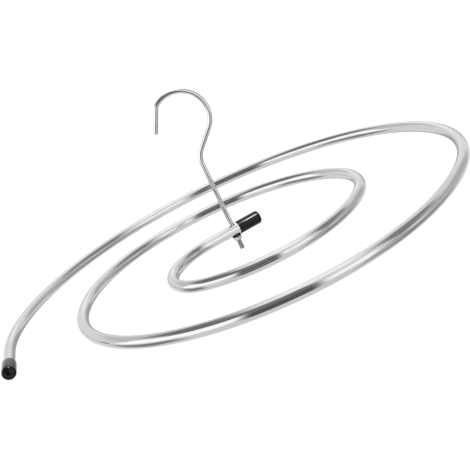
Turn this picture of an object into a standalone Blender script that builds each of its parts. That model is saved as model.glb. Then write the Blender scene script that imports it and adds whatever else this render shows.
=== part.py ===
"""Spiral drying rack for sheets and blankets.

A polished steel tube is bent into a flat spiral that opens outward from its
middle. A wire hook drops through a hole near the tube's inner end and is held
there by a nut and a washer, so the spiral turns freely under the hook. Both
ends of the tube are closed by slip-on plastic caps.

Units are metres, +Z is up. The origin is the hook's seat: the underside of the
top of its loop, where it hangs on a rail. The hook's shank and the axis that
the spiral turns about both lie on the Z axis.
"""

import math
from itertools import accumulate

import bmesh
import bpy
from mathutils import Matrix, Quaternion, Vector

MM = 0.001

# Clearance between pieces that touch
CLEARANCE = 0.3 * MM

# Tube
TUBE_DIAMETER = 10.6 * MM
TUBE_WALL = 0.8 * MM
TUBE_SIDES = 16

# Run of the tube, from the hook outward, with how much each bend is wider than the last
INNER_HEADING = 193.0
INNER_STRAIGHT = 23.0 * MM
CURL_RADIUS = 59.1 * MM
SECOND_GROWTH = 50.4 * MM
THIRD_GROWTH = 32.5 * MM
FOURTH_GROWTH = 40.5 * MM
FIFTH_GROWTH = 40.5 * MM
LAST_GROWTH = 9.5 * MM
FIRST_SWEEP = 139.0
MIDDLE_SWEEP = 142.5
LAST_SWEEP = 95.0
OUTER_STRAIGHT = 31.5 * MM
TUBE_STEP = 7.5

# End caps
CAP_LENGTH = 24.3 * MM
CAP_WALL = 0.8 * MM
CAP_END_WALL = 2.4 * MM
CAP_EDGE_RADIUS = 2.6 * MM
CAP_DOME = 0.9 * MM
CAP_SIDES = 24

# Hook wire, with heights measured from the tube's centre line
WIRE_DIAMETER = 4.5 * MM
WIRE_SIDES = 12
ELBOW_HEIGHT = 79.0 * MM
ELBOW_LEAN = 44.0
ELBOW_RADIUS = 18.0 * MM
LOOP_RADIUS = 26.25 * MM
LOOP_SWEEP = 168.5
LIP_BEND_RADIUS = 5.0 * MM
LIP_BEND = 29.0
LIP_LENGTH = 24.3 * MM
WIRE_STEP = 9.0

# Thread on the hook's lower end
THREAD_DIAMETER = 4.9 * MM
THREAD_LENGTH = 20.0 * MM
THREAD_BELOW_NUT = 10.1 * MM
THREAD_CHAMFER = 0.5 * MM

# Washer and nut
WASHER_DIAMETER = 9.0 * MM
WASHER_THICKNESS = 0.8 * MM
WASHER_EDGE = 0.2 * MM
NUT_SIDES = 6
NUT_WIDTH = 8.0 * MM
NUT_HEIGHT = 3.2 * MM
NUT_CHAMFER_ANGLE = 30.0
BORE_SIDES = 24

# Sizes that follow from the ones above
BEND_RADII = tuple(accumulate((CURL_RADIUS, SECOND_GROWTH, THIRD_GROWTH,
                               FOURTH_GROWTH, FIFTH_GROWTH, LAST_GROWTH)))
BEND_SWEEPS = (FIRST_SWEEP, MIDDLE_SWEEP, MIDDLE_SWEEP, MIDDLE_SWEEP, MIDDLE_SWEEP, LAST_SWEEP)
NUT_CORNER_RADIUS = NUT_WIDTH / 2 / math.cos(math.pi / NUT_SIDES)
TUBE_RADIUS = TUBE_DIAMETER / 2
WIRE_RADIUS = WIRE_DIAMETER / 2
THREAD_RADIUS = THREAD_DIAMETER / 2
BORE_RADIUS = max(THREAD_RADIUS, WIRE_RADIUS) + CLEARANCE
CAP_BORE_RADIUS = TUBE_RADIUS + CLEARANCE
CAP_RADIUS = CAP_BORE_RADIUS + CAP_WALL
CAP_GRIP = CAP_LENGTH - CAP_END_WALL - CLEARANCE
CAP_FROM_HOOK = max(WASHER_DIAMETER / 2, NUT_CORNER_RADIUS) + CLEARANCE
LOOP_CENTRE_HEIGHT = ELBOW_HEIGHT + LOOP_RADIUS / math.sin(math.radians(ELBOW_LEAN))
TUBE_LEVEL = -(LOOP_CENTRE_HEIGHT + LOOP_RADIUS - WIRE_RADIUS)
WASHER_TOP = TUBE_LEVEL - TUBE_RADIUS - CLEARANCE
NUT_TOP = WASHER_TOP - WASHER_THICKNESS - CLEARANCE
NUT_BOTTOM = NUT_TOP - NUT_HEIGHT
THREAD_END = NUT_BOTTOM - THREAD_BELOW_NUT

# Colours and surface values: colour, metallic, roughness
POLISHED_STEEL = ((0.72, 0.72, 0.73), 1.0, 0.12)
BRIGHT_ZINC = ((0.66, 0.66, 0.67), 1.0, 0.28)
BLACK_VINYL = ((0.012, 0.012, 0.013), 0.0, 0.22)
BLACK_NYLON = ((0.018, 0.018, 0.019), 0.0, 0.45)


class Bender:
    """Carries a round section along straights and tangent bends in one plane."""

    def __init__(self, radius, sides, start, heading, axis):
        """Draw the first section square to the heading."""
        self.mesh = bmesh.new()
        self.place = Vector(start)
        self.heading = Vector(heading).normalized()
        self.axis = Vector(axis).normalized()
        turn = self.heading.to_track_quat("Z", "Y").to_matrix().to_4x4()
        circle = bmesh.ops.create_circle(self.mesh, segments=sides, radius=radius,
                                         matrix=Matrix.Translation(self.place) @ turn)
        self.front = list({edge for vert in circle["verts"] for edge in vert.link_edges})
        self.back = list(self.front)

    def straight(self, length, scale=1.0):
        """Run straight on, and scale the section on the way to taper or step it."""
        grown = bmesh.ops.extrude_edge_only(self.mesh, edges=self.front)["geom"]
        verts = [item for item in grown if isinstance(item, bmesh.types.BMVert)]
        self.front = [item for item in grown if isinstance(item, bmesh.types.BMEdge)]
        bmesh.ops.translate(self.mesh, vec=self.heading * length, verts=verts)
        self.place = self.place + self.heading * length
        bmesh.ops.scale(self.mesh, vec=Vector((scale, scale, scale)), verts=verts,
                        space=Matrix.Translation(-self.place))

    def bend(self, radius, degrees, step):
        """Bend on an arc about the plane's axis, left for positive degrees."""
        side = math.copysign(1.0, degrees)
        centre = self.place + self.axis.cross(self.heading) * (radius * side)
        angle = math.radians(degrees)
        verts = {vert for edge in self.front for vert in edge.verts}
        spun = bmesh.ops.spin(self.mesh, geom=[*verts, *self.front], cent=centre, axis=self.axis,
                              angle=angle, steps=math.ceil(abs(degrees) / step))
        self.front = [item for item in spun["geom_last"] if isinstance(item, bmesh.types.BMEdge)]
        turn = Quaternion(self.axis, angle)
        self.place = centre + turn @ (self.place - centre)
        self.heading = turn @ self.heading

    def bar(self, name, finish):
        """Finish a solid bar, with a flat disc on each end."""
        for ends in (self.back, self.front):
            bmesh.ops.contextual_create(self.mesh, geom=ends)
        return finished(name, self.mesh, finish)

    def tube(self, name, finish, wall):
        """Finish a hollow tube, open at both ends, with its wall inside the section."""
        piece = finished(name, self.mesh, finish)
        hollow = piece.modifiers.new("wall", "SOLIDIFY")
        hollow.thickness = wall
        hollow.offset = -1.0
        hollow.use_even_offset = True
        return piece


def finished(name, mesh, finish, smooth_angle=40.0):
    """Turn a bmesh into a named object with its faces outward and its material."""
    bmesh.ops.recalc_face_normals(mesh, faces=mesh.faces)
    data = bpy.data.meshes.new(name)
    mesh.to_mesh(data)
    mesh.free()
    data.shade_smooth()
    data.set_sharp_from_angle(angle=math.radians(smooth_angle))
    data.materials.append(finish)
    piece = bpy.data.objects.new(name, data)
    bpy.context.scene.collection.objects.link(piece)
    return piece


def surface(name, values):
    """Make a Principled material from a colour, a metallic and a roughness value."""
    colour, metallic, roughness = values
    finish = bpy.data.materials.new(name)
    finish.use_nodes = True
    shader = finish.node_tree.nodes["Principled BSDF"]
    shader.inputs["Base Color"].default_value = (*colour, 1.0)
    shader.inputs["Metallic"].default_value = metallic
    shader.inputs["Roughness"].default_value = roughness
    return finish


def turned(name, profile, sides, finish, closed=False):
    """Turn a profile of (radius, height) points about Z into a solid."""
    mesh = bmesh.new()
    verts = [mesh.verts.new((radius, 0.0, height)) for radius, height in profile]
    ends = list(zip(verts, verts[1:]))
    if closed:
        ends.append((verts[-1], verts[0]))
    edges = [mesh.edges.new(pair) for pair in ends]
    bmesh.ops.spin(mesh, geom=verts + edges, cent=(0, 0, 0), axis=(0, 0, 1),
                   angle=math.tau, steps=sides, use_merge=True)
    bmesh.ops.remove_doubles(mesh, verts=mesh.verts, dist=1e-7)
    return finished(name, mesh, finish)


def arc_points(centre, radius, first, last, count):
    """List points on an arc from one angle to another, both in degrees."""
    angles = [math.radians(first + (last - first) * i / count) for i in range(count + 1)]
    return [(centre[0] + radius * math.cos(a), centre[1] + radius * math.sin(a)) for a in angles]


def cut_with(piece, cutter, operation="DIFFERENCE"):
    """Cut a piece with a hidden wire shape that follows it."""
    cutter.hide_render = True
    cutter.display_type = "WIRE"
    cut = piece.modifiers.new(cutter.name, "BOOLEAN")
    cut.operation = operation
    cut.solver = "EXACT"
    cut.object = cutter


def bore_cutter(name, height, length, finish):
    """Make a plain round cutter on the Z axis for the hole that the rod passes."""
    half = length / 2
    profile = [(0, half), (BORE_RADIUS, half), (BORE_RADIUS, -half), (0, -half)]
    cutter = turned(name, profile, BORE_SIDES, finish)
    cutter.location = (0, 0, height)
    return cutter


def spiral_tube(steel):
    """Bend the hollow tube: a straight through the hook, six bends, a straight."""
    inward = Quaternion((0, 0, 1), math.radians(INNER_HEADING)) @ Vector((-1, 0, 0))
    start = inward * (CAP_FROM_HOOK + CAP_GRIP)
    tube = Bender(TUBE_RADIUS, TUBE_SIDES, start, -inward, (0, 0, 1))
    tube.straight(CAP_FROM_HOOK + CAP_GRIP + INNER_STRAIGHT)
    for radius, sweep in zip(BEND_RADII, BEND_SWEEPS):
        tube.bend(radius, sweep, TUBE_STEP)
    tube.straight(OUTER_STRAIGHT)
    cap_mouth = (tube.place.copy(), tube.heading.copy())
    tube.straight(CAP_GRIP)
    piece = tube.tube("spiral_tube", steel, TUBE_WALL)
    return piece, (inward * CAP_FROM_HOOK, inward), cap_mouth


def end_cap(name, vinyl, mouth, heading):
    """Turn a slip-on cap with a softly rounded closed end, and point it along the tube."""
    corner = (CAP_RADIUS - CAP_EDGE_RADIUS, CAP_LENGTH - CAP_DOME - CAP_EDGE_RADIUS)
    rounded_edge = arc_points(corner, CAP_EDGE_RADIUS, 0, 90, 4)
    profile = [(0, CAP_LENGTH - CAP_END_WALL), (CAP_BORE_RADIUS, CAP_LENGTH - CAP_END_WALL),
               (CAP_BORE_RADIUS, 0), (CAP_RADIUS, 0), *rounded_edge, (0, CAP_LENGTH)]
    cap = turned(name, profile, CAP_SIDES, vinyl)
    cap.location = mouth
    cap.rotation_mode = "QUATERNION"
    cap.rotation_quaternion = heading.to_track_quat("Z", "X")
    return cap


def hook(steel):
    """Bend the hook wire upward from its thread, with the loop over the shank."""
    elbow_reach = ELBOW_RADIUS * math.tan(math.radians(ELBOW_LEAN / 2))
    neck = LOOP_RADIUS / math.tan(math.radians(ELBOW_LEAN)) - elbow_reach
    shank = TUBE_LEVEL + ELBOW_HEIGHT - elbow_reach - (THREAD_END + THREAD_LENGTH)
    chamfered = THREAD_RADIUS - THREAD_CHAMFER
    wire = Bender(chamfered, WIRE_SIDES, (0, 0, THREAD_END), (0, 0, 1), (0, -1, 0))
    wire.straight(THREAD_CHAMFER, THREAD_RADIUS / chamfered)
    wire.straight(THREAD_LENGTH - THREAD_CHAMFER)
    wire.straight(THREAD_CHAMFER, WIRE_RADIUS / THREAD_RADIUS)
    wire.straight(shank - THREAD_CHAMFER)
    wire.bend(ELBOW_RADIUS, -ELBOW_LEAN, WIRE_STEP)
    wire.straight(neck)
    wire.bend(LOOP_RADIUS, LOOP_SWEEP, WIRE_STEP)
    wire.bend(LIP_BEND_RADIUS, LIP_BEND, WIRE_STEP)
    wire.straight(LIP_LENGTH)
    return wire.bar("hook", steel)


def washer(nylon):
    """Turn the flat washer that the tube sits on."""
    half = WASHER_THICKNESS / 2
    rim = WASHER_DIAMETER / 2
    profile = [(BORE_RADIUS, half), (rim - WASHER_EDGE, half), (rim, half - WASHER_EDGE),
               (rim, WASHER_EDGE - half), (rim - WASHER_EDGE, -half), (BORE_RADIUS, -half)]
    piece = turned("washer", profile, BORE_SIDES, nylon, closed=True)
    piece.location = (0, 0, WASHER_TOP - half)
    return piece


def nut(zinc):
    """Make the hexagon nut: a prism with turned-off corners and a bore."""
    half = NUT_HEIGHT / 2
    mesh = bmesh.new()
    bmesh.ops.create_cone(mesh, cap_ends=True, segments=NUT_SIDES, radius1=NUT_CORNER_RADIUS,
                          radius2=NUT_CORNER_RADIUS, depth=NUT_HEIGHT)
    piece = finished("nut", mesh, zinc)
    face_radius = NUT_WIDTH / 2
    rise = (NUT_CORNER_RADIUS - face_radius) * math.tan(math.radians(NUT_CHAMFER_ANGLE))
    profile = [(0, half), (face_radius, half), (NUT_CORNER_RADIUS, half - rise),
               (NUT_CORNER_RADIUS, rise - half), (face_radius, -half), (0, -half)]
    blank = turned("nut_blank", profile, BORE_SIDES, zinc)
    bore = bore_cutter("nut_bore", 0, 2 * NUT_HEIGHT, zinc)
    cut_with(piece, blank, "INTERSECT")
    cut_with(piece, bore)
    piece.location = (0, 0, NUT_TOP - half)
    for tool in (blank, bore):
        tool.parent = piece
    return piece


def build():
    """Build the rack: the hook and nut stay still, the rest turns under them."""
    for leftover in list(bpy.data.objects):
        bpy.data.objects.remove(leftover)
    steel = surface("polished_stainless_steel", POLISHED_STEEL)
    zinc = surface("bright_zinc", BRIGHT_ZINC)
    vinyl = surface("black_vinyl", BLACK_VINYL)
    nylon = surface("black_nylon", BLACK_NYLON)

    hook(steel)
    nut(zinc)
    washer(nylon)

    swivel = bpy.data.objects.new("spiral_swivel", None)
    swivel.location = (0, 0, TUBE_LEVEL)
    bpy.context.scene.collection.objects.link(swivel)
    tube, inner_mouth, outer_mouth = spiral_tube(steel)
    hole = bore_cutter("hook_hole", 0, 2 * TUBE_DIAMETER, steel)
    cut_with(tube, hole)
    inner_cap = end_cap("inner_cap", vinyl, *inner_mouth)
    outer_cap = end_cap("outer_cap", vinyl, *outer_mouth)
    for piece in (tube, hole, inner_cap, outer_cap):
        piece.parent = swivel


build()
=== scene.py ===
"""Looks of the spiral drying rack: its fine surfaces, finishes, studio and camera.

The rack is a flat spiral of polished stainless tube. It turns and slides on the
shank of a bent wire hook, where a washer and a hexagon nut hold it up. A soft
black cap closes each end of the tube. Lengths are in metres unless a name says
otherwise, +Z is up, and the origin is the hook's seat.
"""

import logging
import math
from collections.abc import Callable, Iterable
from dataclasses import dataclass, field
from enum import Enum

import bmesh
import bpy
import numpy as np
from bpy.types import Material, Node, NodeSocket, NodeTree, Object
from mathutils import Matrix, Quaternion, Vector

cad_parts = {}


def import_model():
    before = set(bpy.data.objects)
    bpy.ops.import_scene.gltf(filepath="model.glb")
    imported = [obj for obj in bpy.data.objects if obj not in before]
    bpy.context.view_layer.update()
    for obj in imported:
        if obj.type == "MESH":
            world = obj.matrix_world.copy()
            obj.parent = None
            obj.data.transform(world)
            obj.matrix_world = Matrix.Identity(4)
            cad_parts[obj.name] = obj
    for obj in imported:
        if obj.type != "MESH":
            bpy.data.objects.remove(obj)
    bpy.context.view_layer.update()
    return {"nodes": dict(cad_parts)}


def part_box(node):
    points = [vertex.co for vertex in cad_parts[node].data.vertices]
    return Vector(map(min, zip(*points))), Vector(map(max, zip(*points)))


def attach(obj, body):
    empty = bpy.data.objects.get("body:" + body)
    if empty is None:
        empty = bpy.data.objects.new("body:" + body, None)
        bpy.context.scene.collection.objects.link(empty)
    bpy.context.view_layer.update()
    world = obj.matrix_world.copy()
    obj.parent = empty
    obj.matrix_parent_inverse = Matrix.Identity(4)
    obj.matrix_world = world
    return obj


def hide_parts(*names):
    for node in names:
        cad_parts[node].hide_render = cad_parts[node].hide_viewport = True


MM = 0.001
MERGE_DISTANCE = 1e-6
# A bisect's own threshold of 0.1 mm would tear a thread of 0.8 mm pitch
BISECT_THRESHOLD = 1e-7
# A point past a stretch's end counts as this many times further off
PAST_END_WEIGHT = 4
# The light path output for rays that a mirroring surface sends out
MIRRORED = "Is Glossy Ray"
LOG = logging.getLogger("spiral_drying_rack")
MeshPart = bmesh.types.BMFace | bmesh.types.BMEdge


class Body(Enum):
    """The rigid bodies that a piece can ride on."""

    HOOK = "hook"
    WASHER = "washer"
    SPIRAL = "spiral"


class Slot(Enum):
    """The record's material slots."""

    STEEL = "polished_steel"
    ZINC = "bright_zinc"
    NYLON = "black_nylon"
    VINYL = "black_vinyl"


class Pick(Enum):
    """What edit mode selects."""

    EDGES = "EDGE"
    FACES = "FACE"


class Carve(Enum):
    """What a boolean does with its second shape."""

    TAKE_AWAY = "DIFFERENCE"
    KEEP_INSIDE = "INTERSECT"
    JOIN = "UNION"


def linear(hex_colour: str) -> tuple[float, float, float, float]:
    """Turn an sRGB hex colour into linear light, by the standard's own curve.

    Args:
        hex_colour: A colour such as "#D4D4D3".

    Returns:
        Red, green, blue and an alpha of 1.
    """
    parts = [int(hex_colour[i:i + 2], 16) / 255 for i in (1, 3, 5)]
    red, green, blue = (p / 12.92 if p <= 0.04045 else ((p + 0.055) / 1.055) ** 2.4 for p in parts)
    return red, green, blue, 1.0


def add_node(tree: NodeTree, kind: str, inputs: dict[str | int, object] | None = None,
             **settings: object) -> Node:
    """Add a shader node with its settings, values and links.

    Args:
        tree: The node tree to add to.
        kind: The node's type name.
        inputs: Input name or index to a value, or to the socket that feeds it.
        **settings: The node's own properties.

    Returns:
        The new node.
    """
    made = tree.nodes.new(kind)
    for key, value in settings.items():
        setattr(made, key, value)
    for key, value in (inputs or {}).items():
        if isinstance(value, NodeSocket):
            tree.links.new(value, made.inputs[key])
        else:
            made.inputs[key].default_value = value
    return made


def calculate(tree: NodeTree, operation: str, *values: NodeSocket | float) -> NodeSocket:
    """Add a math node.

    Args:
        tree: The node tree to add to.
        operation: The node's operation, as Blender names it.
        *values: Its numbers, or the sockets that feed it.

    Returns:
        The socket that carries the result.
    """
    made = add_node(tree, "ShaderNodeMath", dict(enumerate(values)), operation=operation)
    return made.outputs["Value"]


def empty_material(name: str) -> tuple[Material, NodeTree, Node]:
    """Start a node material with only its output.

    Args:
        name: The material's name.

    Returns:
        The material, its node tree and its output node.
    """
    material = bpy.data.materials.new(name)
    material.use_nodes = True
    tree = material.node_tree
    tree.nodes.clear()
    return material, tree, tree.nodes.new("ShaderNodeOutputMaterial")


def mix_colours(tree: NodeTree, share: NodeSocket, first: str, second: str) -> NodeSocket:
    """Mix two colours by a share that a texture gives.

    Args:
        tree: The material's node tree.
        share: How much of the second colour there is, from 0 to 1.
        first: The first sRGB hex colour.
        second: The second sRGB hex colour.

    Returns:
        The socket that carries the mixed colour.
    """
    # A mix node's inputs 6 and 7 and its output 2 are the ones for colours
    mixed = add_node(tree, "ShaderNodeMix", {
        "Factor": share, 6: linear(first), 7: linear(second)}, data_type="RGBA")
    return mixed.outputs[2]


def from_axis(tree: NodeTree) -> NodeSocket:
    """Measure how far a point lies from the Z axis.

    Args:
        tree: The material's node tree.

    Returns:
        The socket that carries the distance in metres.
    """
    place = add_node(tree, "ShaderNodeTexCoord")
    level = add_node(tree, "ShaderNodeVectorMath", {
        0: place.outputs["Object"], 1: (1.0, 1.0, 0.0)}, operation="MULTIPLY")
    radius = add_node(tree, "ShaderNodeVectorMath", {0: level.outputs["Vector"]},
                      operation="LENGTH")
    return radius.outputs["Value"]


def cover(tree: NodeTree, output: Node, inputs: dict[str | int, object]) -> None:
    """End a material with its principled surface.

    Args:
        tree: The material's node tree.
        output: The material's output node.
        inputs: The surface's values, and the sockets that feed it.
    """
    surface = add_node(tree, "ShaderNodeBsdfPrincipled", inputs)
    tree.links.new(surface.outputs["BSDF"], output.inputs["Surface"])


@dataclass(frozen=True)
class PolishedStainless:
    """Stainless steel, drawn and then buffed along its length to a mirror.

    It gives the eye hard, bright reflections, a little broken along the piece by
    drawing lines and a faint haze where the buffing wheel passed.
    """

    colour: str = "#D6D6D5"
    haze_colour: str = "#C9C9C8"
    roughness: float = 0.055
    haze: float = 0.045
    # Buffing lines are about 0.05 mm apart, drawn coarser here so that they show
    line_spacing: float = 0.7 * MM
    line_length: float = 40 * MM
    line_depth: float = 0.003 * MM
    # Low ridges that the drawing die leaves along the piece
    ridge_spacing: float = 1.7 * MM
    ridge_length: float = 110 * MM
    ridge_depth: float = 0.2 * MM
    streak_detail: float = 2.0
    # Patches of haze, and the part of their noise in which they come in
    haze_size: float = 28 * MM
    haze_detail: float = 3.0
    haze_begins: float = 0.45
    haze_full: float = 0.75

    def material(self, name: str) -> Material:
        """Build the material.

        Args:
            name: The material's name.

        Returns:
            A material that follows the piece's UV map, in metres.
        """
        material, tree, output = empty_material(name)
        place = add_node(tree, "ShaderNodeTexCoord")
        lines = self.lengthwise(tree, place.outputs["UV"], self.line_length, self.line_spacing)
        ridges = self.lengthwise(tree, place.outputs["UV"], self.ridge_length, self.ridge_spacing)
        patches = add_node(tree, "ShaderNodeTexNoise", {
            "Vector": place.outputs["Object"], "Scale": 1 / self.haze_size,
            "Detail": self.haze_detail})
        hazed = add_node(tree, "ShaderNodeMapRange", {
            "Value": patches.outputs["Fac"], "From Min": self.haze_begins,
            "From Max": self.haze_full}, interpolation_type="SMOOTHSTEP")
        worn = calculate(tree, "MULTIPLY", hazed.outputs["Result"], lines.outputs["Fac"])
        drawn = add_node(tree, "ShaderNodeBump", {
            "Height": ridges.outputs["Fac"], "Strength": 1.0, "Distance": self.ridge_depth})
        relief = add_node(tree, "ShaderNodeBump", {
            "Height": lines.outputs["Fac"], "Strength": 1.0, "Distance": self.line_depth,
            "Normal": drawn.outputs["Normal"]})
        cover(tree, output, {
            "Base Color": mix_colours(tree, worn, self.colour, self.haze_colour),
            "Roughness": calculate(tree, "MULTIPLY_ADD", worn, self.haze, self.roughness),
            "Metallic": 1.0, "Normal": relief.outputs["Normal"]})
        return material

    def lengthwise(self, tree: NodeTree, unrolled: NodeSocket,
                   length: float, spacing: float) -> Node:
        """Add a noise that is drawn out along the piece.

        Args:
            tree: The material's node tree.
            unrolled: The UV map's output, in metres.
            length: How long its streaks are.
            spacing: How far apart its streaks are round the piece.

        Returns:
            The noise texture node.
        """
        stretched = add_node(tree, "ShaderNodeMapping", {
            "Vector": unrolled, "Scale": (1 / length, 1 / spacing, 1.0)})
        return add_node(tree, "ShaderNodeTexNoise", {
            "Vector": stretched.outputs["Vector"], "Scale": 1.0, "Detail": self.streak_detail})


@dataclass(frozen=True)
class RolledThread:
    """Stainless thread rolled into the wire, left as it came from the dies.

    It gives the eye a duller grey than the buffed wire, with painted shade that darkens its roots.
    """

    root_radius: float
    crest_radius: float
    colour: str = "#E4E4E3"
    # Painted shade: the colour that the thread's grooves darken to at their roots
    root_shade_colour: str = "#B0B0AE"
    roughness: float = 0.28

    def material(self, name: str) -> Material:
        """Build the material.

        Args:
            name: The material's name.

        Returns:
            A material with painted shade that darkens it towards the thread's roots.
        """
        material, tree, output = empty_material(name)
        # Painted shade, darkening the colour from the crests in to the roots
        depth = add_node(tree, "ShaderNodeMapRange", {
            "Value": from_axis(tree), "From Min": self.root_radius,
            "From Max": self.crest_radius})
        tint = mix_colours(tree, depth.outputs["Result"], self.root_shade_colour, self.colour)
        cover(tree, output, {"Base Color": tint, "Metallic": 1.0, "Roughness": self.roughness})
        return material


@dataclass(frozen=True)
class BrightZinc:
    """Steel with bright zinc plate, cold formed.

    It gives the eye a clear grey gloss that is a little cloudy from crystal to crystal.
    """

    colour: str = "#E2E3E4"
    cloud_colour: str = "#CFD1D3"
    roughness: float = 0.24
    cloud: float = 0.12
    cloud_size: float = 0.9 * MM
    cloud_detail: float = 4.0

    def material(self, name: str) -> Material:
        """Build the material.

        Args:
            name: The material's name.

        Returns:
            A material with cloudy plate on Object coordinates.
        """
        material, tree, output = empty_material(name)
        place = add_node(tree, "ShaderNodeTexCoord")
        clouds = add_node(tree, "ShaderNodeTexNoise", {
            "Vector": place.outputs["Object"], "Scale": 1 / self.cloud_size,
            "Detail": self.cloud_detail})
        tint = mix_colours(tree, clouds.outputs["Fac"], self.colour, self.cloud_colour)
        roughness = calculate(tree, "MULTIPLY_ADD", clouds.outputs["Fac"], self.cloud,
                              self.roughness)
        cover(tree, output, {"Base Color": tint, "Metallic": 1.0, "Roughness": roughness})
        return material


@dataclass(frozen=True)
class MouldedBlack:
    """A black plastic, dipped or moulded.

    Dipped vinyl gives the eye a deep gloss with the slight orange peel of a poured
    skin. Nylon is the same black with a satin, finer grain.
    """

    colour: str
    roughness: float
    ior: float
    # How much its surface mirrors, where 0.5 is all that its index gives
    mirroring: float
    grain_size: float
    grain_depth: float
    grain_detail: float = 2.0
    # The roughness varies by this share over the middle of the grain's noise
    roughness_spread: float = 0.2
    grain_middle: tuple[float, float] = (0.3, 0.7)

    def material(self, name: str) -> Material:
        """Build the material.

        Args:
            name: The material's name.

        Returns:
            A black plastic with its grain on Object coordinates.
        """
        material, tree, output = empty_material(name)
        place = add_node(tree, "ShaderNodeTexCoord")
        grain = add_node(tree, "ShaderNodeTexNoise", {
            "Vector": place.outputs["Object"], "Scale": 1 / self.grain_size,
            "Detail": self.grain_detail})
        relief = add_node(tree, "ShaderNodeBump", {
            "Height": grain.outputs["Fac"], "Strength": 1.0, "Distance": self.grain_depth})
        spread = add_node(tree, "ShaderNodeMapRange", {
            "Value": grain.outputs["Fac"],
            "From Min": self.grain_middle[0], "From Max": self.grain_middle[1],
            "To Min": (1 - self.roughness_spread) * self.roughness,
            "To Max": (1 + self.roughness_spread) * self.roughness})
        cover(tree, output, {
            "Base Color": linear(self.colour), "Roughness": spread.outputs["Result"],
            "IOR": self.ior, "Specular IOR Level": self.mirroring,
            "Normal": relief.outputs["Normal"]})
        return material


DIPPED_VINYL = MouldedBlack(colour="#090909", roughness=0.11, ior=1.5, mirroring=0.24,
                            grain_size=5.0 * MM, grain_depth=0.012 * MM)
MOULDED_NYLON = MouldedBlack(colour="#121213", roughness=0.42, ior=1.53, mirroring=0.5,
                             grain_size=0.5 * MM, grain_depth=0.01 * MM)


def deselect() -> None:
    """Leave edit mode and let go of every object."""
    if bpy.context.object and bpy.context.object.mode != "OBJECT":
        bpy.ops.object.mode_set(mode="OBJECT")
    bpy.ops.object.select_all(action="DESELECT")


def work_on(piece: Object) -> Object:
    """Select one piece alone and make it the active one.

    Args:
        piece: The piece.

    Returns:
        The same piece.
    """
    deselect()
    piece.select_set(True)
    bpy.context.view_layer.objects.active = piece
    return piece


def edit_mesh(kind: Pick) -> bmesh.types.BMesh:
    """Enter edit mode on the active piece with nothing selected.

    Args:
        kind: What is selected next.

    Returns:
        The piece's edit mesh.
    """
    bpy.ops.object.mode_set(mode="EDIT")
    bpy.ops.mesh.select_mode(type=kind.value)
    bpy.ops.mesh.select_all(action="DESELECT")
    return bmesh.from_edit_mesh(bpy.context.object.data)


def pick(parts: Iterable[MeshPart], test: Callable[[MeshPart], bool]) -> None:
    """Select the faces or edges of the active piece's edit mesh that pass a test.

    Args:
        parts: The edit mesh's faces or edges.
        test: A function from one of them to True or False.
    """
    for part in parts:
        if test(part):
            part.select = True
    edited = bmesh.from_edit_mesh(bpy.context.object.data)
    edited.select_flush_mode()
    bmesh.update_edit_mesh(bpy.context.object.data)


def middle(part: MeshPart) -> Vector:
    """Give the middle of a face's or an edge's corners."""
    return sum((vert.co for vert in part.verts), Vector()) / len(part.verts)


def outward() -> None:
    """Point every face of the active piece outward, after merging its doubles."""
    bpy.ops.object.mode_set(mode="EDIT")
    bpy.ops.mesh.select_all(action="SELECT")
    bpy.ops.mesh.remove_doubles(threshold=MERGE_DISTANCE)
    bpy.ops.mesh.normals_make_consistent(inside=False)
    bpy.ops.object.mode_set(mode="OBJECT")


def carve(piece: Object, cutter: Object, how: Carve) -> None:
    """Apply a boolean and delete its second shape.

    Args:
        piece: The piece to change.
        cutter: The other shape, which is used up.
        how: What the boolean does with it.
    """
    work_on(piece)
    boolean = piece.modifiers.new("carve", "BOOLEAN")
    boolean.operation = how.value
    boolean.solver = "EXACT"
    boolean.object = cutter
    bpy.ops.object.modifier_apply(modifier=boolean.name)
    bpy.data.objects.remove(cutter)


def settle(piece: Object, name: str, sharp_degrees: float = 35.0) -> Object:
    """Put a finished piece's place into its mesh, shade it and name it.

    Args:
        piece: The piece.
        name: Its name.
        sharp_degrees: Edges sharper than this stay crisp.

    Returns:
        The same piece.
    """
    work_on(piece)
    bpy.ops.object.transform_apply(location=True, rotation=True, scale=True)
    bpy.ops.object.shade_smooth_by_angle(angle=math.radians(sharp_degrees))
    piece.name = name
    piece.data.name = name
    return piece


def draw_outline(points: list[tuple[float, float]]) -> Object:
    """Draw an open line in the XZ plane by extruding one vertex from point to point.

    Args:
        points: Pairs of radius and height.

    Returns:
        An object in edit mode, with the whole line selected.
    """
    deselect()
    first = Vector((points[0][0], 0.0, points[0][1]))
    bpy.ops.mesh.primitive_plane_add(size=MM, location=first)
    line = bpy.context.object
    bpy.ops.object.transform_apply(location=True)
    bpy.ops.object.mode_set(mode="EDIT")
    bpy.ops.mesh.select_mode(type="VERT")
    bpy.ops.mesh.select_all(action="SELECT")
    bpy.ops.mesh.merge(type="CENTER")
    for (radius, height), (next_radius, next_height) in zip(points, points[1:]):
        step = (next_radius - radius, 0.0, next_height - height)
        bpy.ops.mesh.extrude_vertices_move(TRANSFORM_OT_translate={"value": step})
    bpy.ops.mesh.select_all(action="SELECT")
    return line


def turn_solid(points: list[tuple[float, float]], sides: int) -> Object:
    """Turn an outline about Z into a closed solid.

    Args:
        points: Pairs of radius and height, whose ends meet the axis or each other.
        sides: Faces round the axis.

    Returns:
        The solid, in object mode.
    """
    solid = draw_outline(points)
    bpy.ops.mesh.spin(steps=sides, angle=math.tau, center=(0, 0, 0), axis=(0, 0, 1))
    bpy.ops.object.mode_set(mode="OBJECT")
    outward()
    return solid


@dataclass
class Stretch:
    """One straight or bend of a bent line."""

    start: Vector
    heading: Vector
    length: float
    # Its start's distance from the line's start, along the line
    along: float
    # A bend's radius, and 1 for a bend to the left or -1 for one to the right
    radius: float = 0.0
    side: float = 0.0


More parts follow.
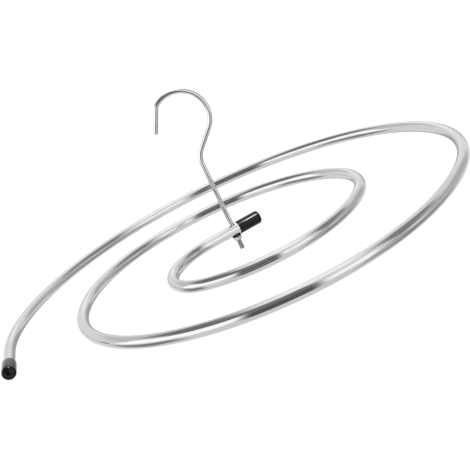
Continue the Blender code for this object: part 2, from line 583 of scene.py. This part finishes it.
@dataclass
class BentLine:
    """A line of straights and tangent bends in the plane across an axis."""

    # Where the line has come to so far, and which way it heads there
    place: Vector
    heading: Vector
    axis: Vector
    stretches: list[Stretch] = field(default_factory=list)
    along: float = 0.0

    def straight(self, length: float) -> None:
        """Add a straight.

        Args:
            length: Its length.
        """
        self.stretches.append(Stretch(self.place.copy(), self.heading.copy(), length, self.along))
        self.place = self.place + self.heading * length
        self.along += length

    def bend(self, radius: float, degrees: float) -> None:
        """Add a bend.

        Args:
            radius: The radius of its centre line.
            degrees: How far it turns about the axis, anticlockwise when positive.
        """
        side = math.copysign(1.0, degrees)
        angle = math.radians(degrees)
        length = radius * abs(angle)
        self.stretches.append(
            Stretch(self.place.copy(), self.heading.copy(), length, self.along, radius, side))
        centre = self.place + self.axis.cross(self.heading) * (radius * side)
        turn = Quaternion(self.axis, angle)
        self.place = centre + turn @ (self.place - centre)
        self.heading = turn @ self.heading
        self.along += length

    def centre_of(self, stretch: Stretch) -> Vector:
        """Give the centre that a bend turns about."""
        return stretch.start + self.axis.cross(stretch.heading) * (stretch.radius * stretch.side)

    def locate(self, points: np.ndarray) -> tuple[np.ndarray, np.ndarray]:
        """Find where points on the bar lie along and round it.

        Args:
            points: One row of x, y and z for each point.

        Returns:
            Each point's distance along the line, and its angle round the line.
        """
        best = np.full(len(points), np.inf)
        along = np.zeros(len(points))
        around = np.zeros(len(points))
        axis = np.array(self.axis)
        for stretch in self.stretches:
            start, heading = np.array(stretch.start), np.array(stretch.heading)
            left = np.cross(axis, heading)
            if stretch.radius:
                spoke = points - np.array(self.centre_of(stretch))
                towards = -left * stretch.side
                forward = spoke @ heading
                outer = spoke @ towards
                reach = np.arctan2(forward, outer) * stretch.radius
                sideways = (np.hypot(forward, outer) - stretch.radius) * -stretch.side
            else:
                spoke = points - start
                reach = spoke @ heading
                sideways = spoke @ left
            high = (points - start) @ axis
            inside = np.clip(reach, 0.0, stretch.length)
            miss = np.hypot(sideways, high) + PAST_END_WEIGHT * np.abs(reach - inside)
            closer = miss < best
            best[closer] = miss[closer]
            along[closer] = stretch.along + inside[closer]
            around[closer] = np.arctan2(high, sideways)[closer]
        return along, around


@dataclass
class BarSweep:
    """Draws a round section along a bent line with edit mode operators."""

    line: BentLine
    radius: float
    sides: int
    bend_step: float
    straight_step: float

    def draw(self) -> Object:
        """Extrude and spin the section from the line's start to its end.

        Returns:
            The bar's skin, open at both ends, in object mode.
        """
        deselect()
        first = self.line.stretches[0]
        facing = first.heading.to_track_quat("Z", "Y").to_euler()
        bpy.ops.mesh.primitive_circle_add(vertices=self.sides, radius=self.radius,
                                          location=first.start, rotation=facing)
        skin = bpy.context.object
        bpy.ops.object.transform_apply(location=True, rotation=True)
        bpy.ops.object.mode_set(mode="EDIT")
        bpy.ops.mesh.select_mode(type="EDGE")
        bpy.ops.mesh.select_all(action="SELECT")
        for stretch in self.line.stretches:
            if stretch.radius:
                degrees = math.degrees(stretch.length / stretch.radius)
                turn = -stretch.side * math.radians(degrees)
                bpy.ops.mesh.spin(steps=math.ceil(degrees / self.bend_step), angle=turn,
                                  center=self.line.centre_of(stretch), axis=self.line.axis)
                continue
            count = max(1, round(stretch.length / self.straight_step))
            step = stretch.heading * (stretch.length / count)
            for _ in range(count):
                bpy.ops.mesh.extrude_edges_move(TRANSFORM_OT_translate={"value": step})
        bpy.ops.object.mode_set(mode="OBJECT")
        return skin


def wrap_uv(piece: Object, line: BentLine, radius: float) -> None:
    """Give a bar a UV map in metres: along the line, and round its girth.

    Args:
        piece: The bar, with its place in its mesh.
        line: The line that it follows.
        radius: The bar's radius.
    """
    mesh = piece.data
    flat = np.zeros(len(mesh.vertices) * 3)
    mesh.vertices.foreach_get("co", flat)
    along, around = line.locate(flat.reshape(-1, 3))
    layer = mesh.uv_layers.new(name="UVMap")
    corners = np.zeros(len(mesh.loops), dtype=np.int64)
    mesh.loops.foreach_get("vertex_index", corners)
    values = np.column_stack((along[corners], around[corners]))
    for polygon in mesh.polygons:
        span = slice(polygon.loop_start, polygon.loop_start + polygon.loop_total)
        angles = values[span, 1]
        if angles.max() - angles.min() > math.pi:
            values[span, 1] = np.where(angles < 0, angles + math.tau, angles)
    values[:, 1] *= radius
    layer.data.foreach_set("uv", values.astype(np.float32).ravel())


@dataclass
class SpiralTube:
    """The polished tube, bent into a flat spiral that opens outward."""

    radius: float = 5.3 * MM
    wall: float = 0.8 * MM
    sides: int = 64
    bend_step: float = 2.0
    straight_step: float = 2.0 * MM
    inner_heading: float = 193.0
    cap_from_hook: float = 4.9188 * MM
    cap_grip: float = 21.6 * MM
    inner_straight: float = 23.0 * MM
    bend_radii: tuple[float, ...] = (59.1 * MM, 109.5 * MM, 142.0 * MM,
                                     182.5 * MM, 223.0 * MM, 232.5 * MM)
    bend_sweeps: tuple[float, ...] = (139.0, 142.5, 142.5, 142.5, 142.5, 95.0)
    outer_straight: float = 31.5 * MM
    hole_radius: float = 2.75 * MM
    hole_sides: int = 64

    def __post_init__(self) -> None:
        """Lay the centre line at the CAD tube's level and keep where the caps' mouths are."""
        low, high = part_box("spiral_tube")
        self.level = (low.z + high.z) / 2
        inward = Quaternion((0, 0, 1), math.radians(self.inner_heading)) @ Vector((-1, 0, 0))
        centre = Vector((0, 0, self.level))
        reach = self.cap_from_hook + self.cap_grip
        self.line = BentLine(centre + inward * reach, -inward, Vector((0, 0, 1)))
        self.line.straight(reach + self.inner_straight)
        for radius, sweep in zip(self.bend_radii, self.bend_sweeps):
            self.line.bend(radius, sweep)
        self.line.straight(self.outer_straight)
        self.inner_mouth = (centre + inward * self.cap_from_hook, inward)
        self.outer_mouth = (self.line.place.copy(), self.line.heading.copy())
        self.line.straight(self.cap_grip)

    def build(self) -> Object:
        """Draw the tube's skin, give it its wall and drill the hook's hole.

        Returns:
            The finished tube.
        """
        sweep = BarSweep(self.line, self.radius, self.sides, self.bend_step, self.straight_step)
        tube = sweep.draw()
        outward()
        wall = tube.modifiers.new("wall", "SOLIDIFY")
        wall.thickness = self.wall
        wall.offset = -1.0
        wall.use_even_offset = True
        bpy.ops.object.modifier_apply(modifier=wall.name)
        deselect()
        drill_length = 4 * self.radius
        bpy.ops.mesh.primitive_cylinder_add(vertices=self.hole_sides, radius=self.hole_radius,
                                            depth=drill_length, location=(0, 0, self.level))
        carve(tube, bpy.context.object, Carve.TAKE_AWAY)
        settle(tube, "tube_spiral_polished")
        wrap_uv(tube, self.line, self.radius)
        return tube

    def dress(self, tube: Object, finish: PolishedStainless) -> None:
        """Finish the tube and let it stand for its CAD node.

        Args:
            tube: The finished mesh.
            finish: Its steel.
        """
        tube.data.materials.clear()
        tube.data.materials.append(finish.material("polished_stainless_tube"))
        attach(tube, Body.SPIRAL.value)
        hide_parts("spiral_tube")


@dataclass
class EndCap:
    """A slip-on cap of dipped vinyl with a softly domed closed end."""

    name: str
    node: str
    mouth: Vector
    heading: Vector
    radius: float = 6.4 * MM
    bore: float = 5.6 * MM
    length: float = 24.3 * MM
    end_wall: float = 2.4 * MM
    edge_radius: float = 2.6 * MM
    dome: float = 0.9 * MM
    lip_radius: float = 0.3 * MM
    sides: int = 96
    lip_steps: int = 4
    edge_steps: int = 10
    dome_steps: int = 6

    def outline(self) -> list[tuple[float, float]]:
        """List the cap's section from its bore's end, round the mouth, to the dome's top.

        Returns:
            Pairs of radius and height above the mouth.
        """
        flat = self.radius - self.edge_radius
        shoulder = self.length - self.dome
        inside = self.length - self.end_wall
        points = [(0.0, inside), (self.bore, inside), (self.bore, self.lip_radius)]
        for middle_radius, start, first in ((self.bore + self.lip_radius, 180, 1),
                                            (self.radius - self.lip_radius, 270, 0)):
            for i in range(first, self.lip_steps + 1):
                angle = math.radians(start + 90 * i / self.lip_steps)
                points.append((middle_radius + self.lip_radius * math.cos(angle),
                               self.lip_radius * (1 + math.sin(angle))))
        for i in range(self.edge_steps + 1):
            angle = math.radians(90 * i / self.edge_steps)
            points.append((flat + self.edge_radius * math.cos(angle),
                           shoulder - self.edge_radius * (1 - math.sin(angle))))
        for i in range(1, self.dome_steps + 1):
            share = 1 - i / self.dome_steps
            points.append((flat * share, shoulder + self.dome * (1 - share * share)))
        return points

    def build(self) -> Object:
        """Turn the cap and push it along the tube.

        Returns:
            The finished cap.
        """
        cap = turn_solid(self.outline(), self.sides)
        cap.rotation_mode = "QUATERNION"
        cap.rotation_quaternion = self.heading.to_track_quat("Z", "X")
        cap.location = self.mouth
        return settle(cap, self.name)

    def dress(self, cap: Object, finish: MouldedBlack) -> None:
        """Finish the cap and let it stand for its CAD node.

        Args:
            cap: The finished mesh.
            finish: Its vinyl.
        """
        cap.data.materials.clear()
        cap.data.materials.append(finish.material(f"dipped_vinyl_{self.name}"))
        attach(cap, Body.SPIRAL.value)
        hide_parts(self.node)


@dataclass
class RailHook:
    """The bent wire hook with its rolled thread."""

    tube_level: float
    wire_radius: float = 2.25 * MM
    wire_sides: int = 48
    elbow_height: float = 79.0 * MM
    elbow_lean: float = 44.0
    elbow_radius: float = 18.0 * MM
    loop_radius: float = 26.25 * MM
    loop_sweep: float = 168.5
    lip_bend_radius: float = 5.0 * MM
    lip_bend: float = 29.0
    lip_length: float = 24.3 * MM
    tip_round: float = 0.5 * MM
    tip_steps: int = 4
    bend_step: float = 3.0
    straight_step: float = 4.0 * MM
    thread_radius: float = 2.45 * MM
    thread_root: float = 1.96 * MM
    thread_pitch: float = 0.8 * MM
    # Where in one pitch the root ends, and where the crest begins and ends
    root_end: float = 0.25
    crest_begin: float = 0.5625
    crest_end: float = 0.6875
    thread_length: float = 20.0 * MM
    spare_turns: int = 3
    thread_sides: int = 36
    chamfer: float = 0.5 * MM

    def __post_init__(self) -> None:
        """Lay the wire's line from inside the thread's top to the lip's end."""
        self.thread_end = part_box("hook")[0].z
        self.thread_top = self.thread_end + self.thread_length
        reach = self.elbow_radius * math.tan(math.radians(self.elbow_lean / 2))
        neck = self.loop_radius / math.tan(math.radians(self.elbow_lean)) - reach
        elbow = self.tube_level + self.elbow_height - reach
        overlap = self.thread_pitch
        start = self.thread_top - overlap
        self.line = BentLine(Vector((0, 0, start)), Vector((0, 0, 1)), Vector((0, -1, 0)))
        self.line.straight(elbow - start)
        self.line.bend(self.elbow_radius, -self.elbow_lean)
        self.line.straight(neck)
        self.line.bend(self.loop_radius, self.loop_sweep)
        self.line.bend(self.lip_bend_radius, self.lip_bend)
        self.line.straight(self.lip_length)

    def close_ends(self, wire: Object) -> None:
        """Fill both ends of the wire's skin and round off the lip's end.

        Args:
            wire: The skin.
        """
        work_on(wire)
        tip, heading = self.line.place, self.line.heading
        mesh = edit_mesh(Pick.EDGES)
        pick(mesh.edges, lambda edge: edge.is_boundary)
        bpy.ops.mesh.edge_face_add()
        mesh = edit_mesh(Pick.FACES)
        pick(mesh.faces, lambda face: len(face.verts) == self.wire_sides
             and abs((middle(face) - tip) @ heading) < self.tip_round)
        bpy.ops.mesh.bevel(offset=self.tip_round, segments=self.tip_steps, affect="EDGES")
        bpy.ops.object.mode_set(mode="OBJECT")

    def thread(self) -> Object:
        """Roll the thread: a helix of one pitch's outline, cut square and chamfered.

        Returns:
            The closed thread, in object mode.
        """
        pitch = self.thread_pitch
        root, crest = self.thread_root, self.thread_radius
        helix = draw_outline([(root, 0.0), (root, self.root_end * pitch),
                              (crest, self.crest_begin * pitch),
                              (crest, self.crest_end * pitch), (root, pitch)])
        bpy.ops.object.mode_set(mode="OBJECT")
        screw = helix.modifiers.new("thread", "SCREW")
        screw.screw_offset = pitch
        screw.iterations = math.ceil(self.thread_length / pitch) + self.spare_turns
        screw.steps = self.thread_sides
        screw.render_steps = self.thread_sides
        screw.merge_threshold = MERGE_DISTANCE
        helix.location.z = self.thread_end - pitch
        work_on(helix)
        bpy.ops.object.modifier_apply(modifier=screw.name)
        bpy.ops.object.transform_apply(location=True)
        outward()
        for height, inner in ((self.thread_end, True), (self.thread_top, False)):
            edit_mesh(Pick.FACES)
            bpy.ops.mesh.select_all(action="SELECT")
            bpy.ops.mesh.bisect(plane_co=(0, 0, height), plane_no=(0, 0, 1), use_fill=True,
                                clear_inner=inner, clear_outer=not inner,
                                threshold=BISECT_THRESHOLD)
            bpy.ops.object.mode_set(mode="OBJECT")
        outward()
        # The blank reaches past both ends, so that no two faces lie in one plane
        blank = turn_solid([(0, self.thread_end - self.chamfer),
                            (crest - 2 * self.chamfer, self.thread_end - self.chamfer),
                            (crest + self.chamfer, self.thread_end + 2 * self.chamfer),
                            (crest + self.chamfer, self.thread_top + pitch),
                            (0, self.thread_top + pitch)], self.thread_sides)
        carve(helix, blank, Carve.KEEP_INSIDE)
        outward()
        return helix

    def build(self) -> Object:
        """Bend the wire and join it with its thread.

        Returns:
            The finished hook.
        """
        sweep = BarSweep(self.line, self.wire_radius, self.wire_sides,
                         self.bend_step, self.straight_step)
        wire = sweep.draw()
        self.close_ends(wire)
        outward()
        carve(wire, self.thread(), Carve.JOIN)
        outward()
        settle(wire, "hook_wire_threaded")
        wrap_uv(wire, self.line, self.wire_radius)
        return wire

    def dress(self, wire: Object, steel: PolishedStainless, thread: RolledThread) -> None:
        """Finish the wire and its thread, and let them stand for the CAD node.

        Args:
            wire: The finished mesh.
            steel: The buffed wire's steel.
            thread: The rolled thread's steel.
        """
        mesh = wire.data
        mesh.materials.clear()
        mesh.materials.append(steel.material("polished_stainless_wire"))
        mesh.materials.append(thread.material("rolled_stainless_thread"))
        for face in mesh.polygons:
            face.material_index = int(face.center.z < self.thread_top)
        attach(wire, Body.HOOK.value)
        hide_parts("hook")


@dataclass
class FlatWasher:
    """The nylon washer between the tube and the nut."""

    rim: float = 4.5 * MM
    bore: float = 2.65 * MM
    edge: float = 0.2 * MM
    # How far in the middle of a rounded edge lies, as a share of the edge
    edge_belly: float = 0.3
    seat_gap: float = 0.05 * MM
    sides: int = 72

    def build(self) -> Object:
        """Turn the washer and lay it on the nut.

        Returns:
            The finished washer.
        """
        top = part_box("washer")[1].z
        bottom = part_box("nut")[1].z + self.seat_gap
        belly = self.edge_belly * self.edge
        outline = [(self.bore, bottom), (self.rim - self.edge, bottom),
                   (self.rim - belly, bottom + belly),
                   (self.rim, bottom + self.edge), (self.rim, top - self.edge),
                   (self.rim - belly, top - belly),
                   (self.rim - self.edge, top), (self.bore, top), (self.bore, bottom)]
        return settle(turn_solid(outline, self.sides), "washer_nylon")

    def dress(self, washer: Object, finish: MouldedBlack) -> None:
        """Finish the washer and let it stand for its CAD node.

        Args:
            washer: The finished mesh.
            finish: Its nylon.
        """
        washer.data.materials.clear()
        washer.data.materials.append(finish.material("moulded_nylon"))
        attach(washer, Body.WASHER.value)
        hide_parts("washer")


@dataclass
class HexNut:
    """The hexagon nut with its turned-off corners and countersunk bore."""

    width: float = 8.0 * MM
    bore: float = 2.52 * MM
    countersink: float = 0.3 * MM
    chamfer_degrees: float = 30.0
    sharp_degrees: float = 20.0
    sides: int = 96

    def build(self) -> Object:
        """Cut the nut from a six-sided bar.

        Returns:
            The finished nut.
        """
        low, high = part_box("nut")
        bottom, top = low.z, high.z
        corner = self.width / math.sqrt(3)
        face = self.width / 2
        drop = (corner - face) * math.tan(math.radians(self.chamfer_degrees))
        deselect()
        bpy.ops.mesh.primitive_cylinder_add(vertices=6, radius=corner, depth=top - bottom,
                                            location=(0, 0, (top + bottom) / 2))
        nut = bpy.context.object
        bpy.ops.object.transform_apply(location=True)
        flank = turn_solid([(0, bottom), (face, bottom), (corner, bottom + drop),
                            (corner, top - drop), (face, top), (0, top)], self.sides)
        carve(nut, flank, Carve.KEEP_INSIDE)
        wide = self.bore + self.countersink
        bore = turn_solid([(0, bottom - MM), (wide + MM, bottom - MM), (wide, bottom),
                           (self.bore, bottom + self.countersink),
                           (self.bore, top - self.countersink), (wide, top),
                           (wide + MM, top + MM), (0, top + MM)], self.sides)
        carve(nut, bore, Carve.TAKE_AWAY)
        outward()
        return settle(nut, "nut_hexagon", self.sharp_degrees)

    def dress(self, nut: Object, finish: BrightZinc) -> None:
        """Finish the nut and let it stand for its CAD node.

        Args:
            nut: The finished mesh.
            finish: Its plate.
        """
        nut.data.materials.clear()
        nut.data.materials.append(finish.material("bright_zinc_plate"))
        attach(nut, Body.HOOK.value)
        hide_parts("nut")


@dataclass(frozen=True)
class StudioPanel:
    """A soft box or a dark screen of the studio, as the polished tube sees it.

    Angles are in degrees. Azimuth 0 lies beyond the rack as the camera looks, and
    90 to its right. The panel fades out over its soft width.
    """

    name: str
    azimuth: float
    elevation: float
    half_width: float
    half_height: float
    soft: float
    strength: float


@dataclass
class Studio:
    """The white studio: its floor, its light and its camera."""

    tube_level: float
    floor_drop: float = 1.0
    floor_colour: str = "#FBFBFA"
    floor_solid_radius: float = 0.5
    floor_fade_radius: float = 1.4
    floor_sides: int = 96
    # What the metal mirrors between the panels, and the white that lights all else
    wall_strength: float = 0.92
    fill_strength: float = 1.08
    # A square lamp, and the brightness of its face
    lamp_azimuth: float = 131.0
    lamp_elevation: float = 65.7
    lamp_distance: float = 1.8
    lamp_side: float = 0.5
    lamp_radiance: float = 44.0
    # The camera as it was fitted to the photograph, in degrees and in the picture's pixels
    camera_distance: float = 858.34 * MM
    camera_elevation: float = 16.17
    camera_roll: float = -25.54
    camera_right: float = -1.12 * MM
    camera_up: float = -5.41 * MM
    half_pixel: float = 0.478 * MM
    focal_pixels: float = 897.06
    picture_pixels: float = 470.0
    sensor: float = 36.0
    clip_start: float = 10 * MM
    panels: tuple[StudioPanel, ...] = (
        StudioPanel("floor paper", -2, -61, 173, 47, 14, 0.86),
        StudioPanel("screen behind the camera", 189, 12, 21, 46, 11, 0.12),
        StudioPanel("high screen on the left", -104, 50, 89, 24, 13, 0.22),
        StudioPanel("low screen on the left", -88, -26, 22, 17, 11, 0.28),
        StudioPanel("grey sweep beyond the rack", 8, -18, 22, 22, 14, 0.45),
        StudioPanel("paper beyond the rack", -33, 34, 57, 11, 12, 0.72),
        StudioPanel("high screen on the right", 81, 56, 30, 18, 12, 0.30),
        StudioPanel("stand on the right", 98, 27, 24, 18, 10, 0.30),
        StudioPanel("low screen on the right", 99, -39, 37, 22, 13, 0.36),
        StudioPanel("grey wall on the right", 71, 6, 29, 21, 14, 0.58),
        StudioPanel("edge of the right window", 122, -25, 8, 31, 10, 0.55),
        StudioPanel("large soft box on the left", -110, 20, 38, 18, 11, 1.45),
        StudioPanel("its lower corner", -131, 7, 13, 18, 10, 1.42),
        StudioPanel("window on the right", 149, 11, 15, 22, 9, 1.34),
        StudioPanel("overhead soft box", 8, 55, 10, 38, 10, 1.20),
        StudioPanel("overhead paper", 41, 78, 78, 13, 18, 1.36),
        StudioPanel("side paper on the left", -39, -1, 19, 28, 8, 0.92),
    )

    def floor(self) -> None:
        """Lay a pale round floor that fades into the white of the studio."""
        deselect()
        bpy.ops.mesh.primitive_circle_add(vertices=self.floor_sides, radius=self.floor_fade_radius,
                                          fill_type="NGON", location=(0, 0, -self.floor_drop))
        floor = bpy.context.object
        bpy.ops.object.transform_apply(location=True)
        floor.name = "studio_floor"
        material, tree, output = empty_material("studio_floor")
        solid = add_node(tree, "ShaderNodeMapRange", {
            "Value": from_axis(tree), "From Min": self.floor_fade_radius,
            "From Max": self.floor_solid_radius}, interpolation_type="SMOOTHERSTEP")
        # The metal mirrors the panel of floor paper instead, so the floor hides from it
        rays = add_node(tree, "ShaderNodeLightPath")
        unmirrored = calculate(tree, "SUBTRACT", 1.0, rays.outputs[MIRRORED])
        shown = calculate(tree, "MULTIPLY", solid.outputs["Result"], unmirrored)
        pale = add_node(tree, "ShaderNodeBsdfDiffuse", {"Color": linear(self.floor_colour)})
        clear = add_node(tree, "ShaderNodeBsdfTransparent")
        mixed = add_node(tree, "ShaderNodeMixShader", {
            0: shown, 1: clear.outputs["BSDF"], 2: pale.outputs["BSDF"]})
        tree.links.new(mixed.outputs["Shader"], output.inputs["Surface"])
        floor.data.materials.append(material)

    def surroundings(self) -> None:
        """Light the rack evenly, and let its metal mirror soft boxes and dark screens.

        The panels are laid on the whole sphere of directions, by azimuth and elevation.
        """
        world = bpy.data.worlds.new("studio")
        bpy.context.scene.world = world
        world.use_nodes = True
        tree = world.node_tree
        tree.nodes.clear()
        place = add_node(tree, "ShaderNodeTexCoord")
        parts = add_node(tree, "ShaderNodeSeparateXYZ", {0: place.outputs["Generated"]})
        azimuth = calculate(tree, "ARCTAN2", parts.outputs["X"], parts.outputs["Y"])
        elevation = calculate(tree, "ARCSINE", parts.outputs["Z"])
        light = None
        for panel in self.panels:
            light = self.panel_light(tree, panel, azimuth, elevation, light)
        rays = add_node(tree, "ShaderNodeLightPath")
        # A mix node's inputs 2 and 3 and its output 0 are the ones for numbers
        mirrored = add_node(tree, "ShaderNodeMix", {
            "Factor": rays.outputs[MIRRORED], 2: self.fill_strength,
            3: light}, data_type="FLOAT")
        background = add_node(tree, "ShaderNodeBackground", {
            "Color": (1.0, 1.0, 1.0, 1.0), "Strength": mirrored.outputs[0]})
        output = add_node(tree, "ShaderNodeOutputWorld")
        tree.links.new(background.outputs["Background"], output.inputs["Surface"])

    def panel_light(self, tree: NodeTree, panel: StudioPanel,
                    azimuth: NodeSocket, elevation: NodeSocket,
                    under: NodeSocket | None) -> NodeSocket:
        """Lay one panel over the light of those before it.

        Args:
            tree: The world's node tree.
            panel: The panel.
            azimuth: The direction's azimuth, in radians.
            elevation: The direction's elevation, in radians.
            under: The light so far, or None for the plain wall.

        Returns:
            The light with the panel in it.
        """
        soft = math.radians(panel.soft)
        shares = []
        for angle, centre, half in ((azimuth, panel.azimuth, panel.half_width),
                                    (elevation, panel.elevation, panel.half_height)):
            moved = calculate(tree, "SUBTRACT", angle, math.radians(centre))
            wrapped = calculate(tree, "WRAP", moved, math.pi, -math.pi)
            edge = math.radians(half)
            share = add_node(tree, "ShaderNodeMapRange", {
                "Value": calculate(tree, "ABSOLUTE", wrapped), "From Min": edge + soft / 2,
                "From Max": edge - soft / 2}, interpolation_type="SMOOTHSTEP")
            shares.append(share.outputs["Result"])
        laid = add_node(tree, "ShaderNodeMix", {
            "Factor": calculate(tree, "MULTIPLY", *shares),
            2: self.wall_strength if under is None else under,
            3: panel.strength}, data_type="FLOAT")
        return laid.outputs[0]

    def lamp(self, caps: list[Object]) -> None:
        """Hang the lamp that draws the bright line along the black caps.

        Args:
            caps: The only pieces that it lights, as a flag keeps it off the metal.
        """
        azimuth, elevation = math.radians(self.lamp_azimuth), math.radians(self.lamp_elevation)
        towards = Vector((math.sin(azimuth) * math.cos(elevation),
                          math.cos(azimuth) * math.cos(elevation), math.sin(elevation)))
        deselect()
        target = Vector((0, 0, self.tube_level))
        bpy.ops.object.light_add(type="AREA", location=target + towards * self.lamp_distance)
        lamp = bpy.context.object
        lamp.name = "cap_light"
        lamp.rotation_mode = "QUATERNION"
        lamp.rotation_quaternion = towards.to_track_quat("Z", "Y")
        lamp.data.shape = "SQUARE"
        lamp.data.size = self.lamp_side
        lamp.data.energy = self.lamp_radiance * math.pi * self.lamp_side ** 2
        lit = bpy.data.collections.new("lit_by_cap_light")
        for cap in caps:
            lit.objects.link(cap)
        lamp.light_linking.receiver_collection = lit

    def camera(self) -> None:
        """Set the camera where the photograph was taken from."""
        rise, roll = math.radians(self.camera_elevation), math.radians(self.camera_roll)
        back = Vector((0, -math.cos(rise), math.sin(rise)))
        right, above = Vector((1, 0, 0)), Vector((0, math.sin(rise), math.cos(rise)))
        across = right * math.cos(roll) + above * math.sin(roll)
        upward = above * math.cos(roll) - right * math.sin(roll)
        place = Vector((0, 0, self.tube_level)) + back * self.camera_distance
        place += right * self.camera_right + above * self.camera_up
        place += (upward - across) * self.half_pixel
        deselect()
        bpy.ops.object.camera_add(location=place)
        camera = bpy.context.object
        camera.matrix_world = Matrix.Translation(place) @ Matrix(
            (across, upward, back)).transposed().to_4x4()
        camera.data.sensor_width = self.sensor
        camera.data.lens = self.focal_pixels * self.sensor / self.picture_pixels
        camera.data.clip_start = self.clip_start
        bpy.context.scene.camera = camera

    def build(self, caps: list[Object]) -> None:
        """Make the whole studio.

        Args:
            caps: The black caps, which have a lamp of their own.
        """
        self.floor()
        self.surroundings()
        self.lamp(caps)
        self.camera()
        bpy.context.scene.view_settings.view_transform = "Standard"


def report(piece: Object) -> None:
    """Log a finished piece's name and its number of faces."""
    LOG.info("%s: %d faces", piece.name, len(piece.data.polygons))


def main() -> None:
    """Load the frame, build and dress each sub-assembly, and set the studio."""
    logging.basicConfig(level=logging.INFO, format="%(name)s: %(message)s")
    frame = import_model()
    LOG.info("frame: %d CAD nodes", len(frame["nodes"]))
    # The wire is drawn finer than the tube and buffed brighter
    wire_steel = PolishedStainless(colour="#E0E0DF", roughness=0.07, line_spacing=1.5 * MM,
                                   line_depth=0.001 * MM, ridge_depth=0.01 * MM)

    spiral = SpiralTube()
    tube = spiral.build()
    spiral.dress(tube, PolishedStainless())
    report(tube)

    caps = []
    for maker in (EndCap("cap_inner", "inner_cap", *spiral.inner_mouth),
                  EndCap("cap_outer", "outer_cap", *spiral.outer_mouth)):
        cap = maker.build()
        maker.dress(cap, DIPPED_VINYL)
        caps.append(cap)
        report(cap)

    hook = RailHook(spiral.level)
    wire = hook.build()
    hook.dress(wire, wire_steel, RolledThread(hook.thread_root, hook.thread_radius))
    report(wire)

    for maker, finish in ((FlatWasher(), MOULDED_NYLON), (HexNut(), BrightZinc())):
        piece = maker.build()
        maker.dress(piece, finish)
        report(piece)

    Studio(spiral.level).build(caps)


if __name__ == "__main__":
    main()
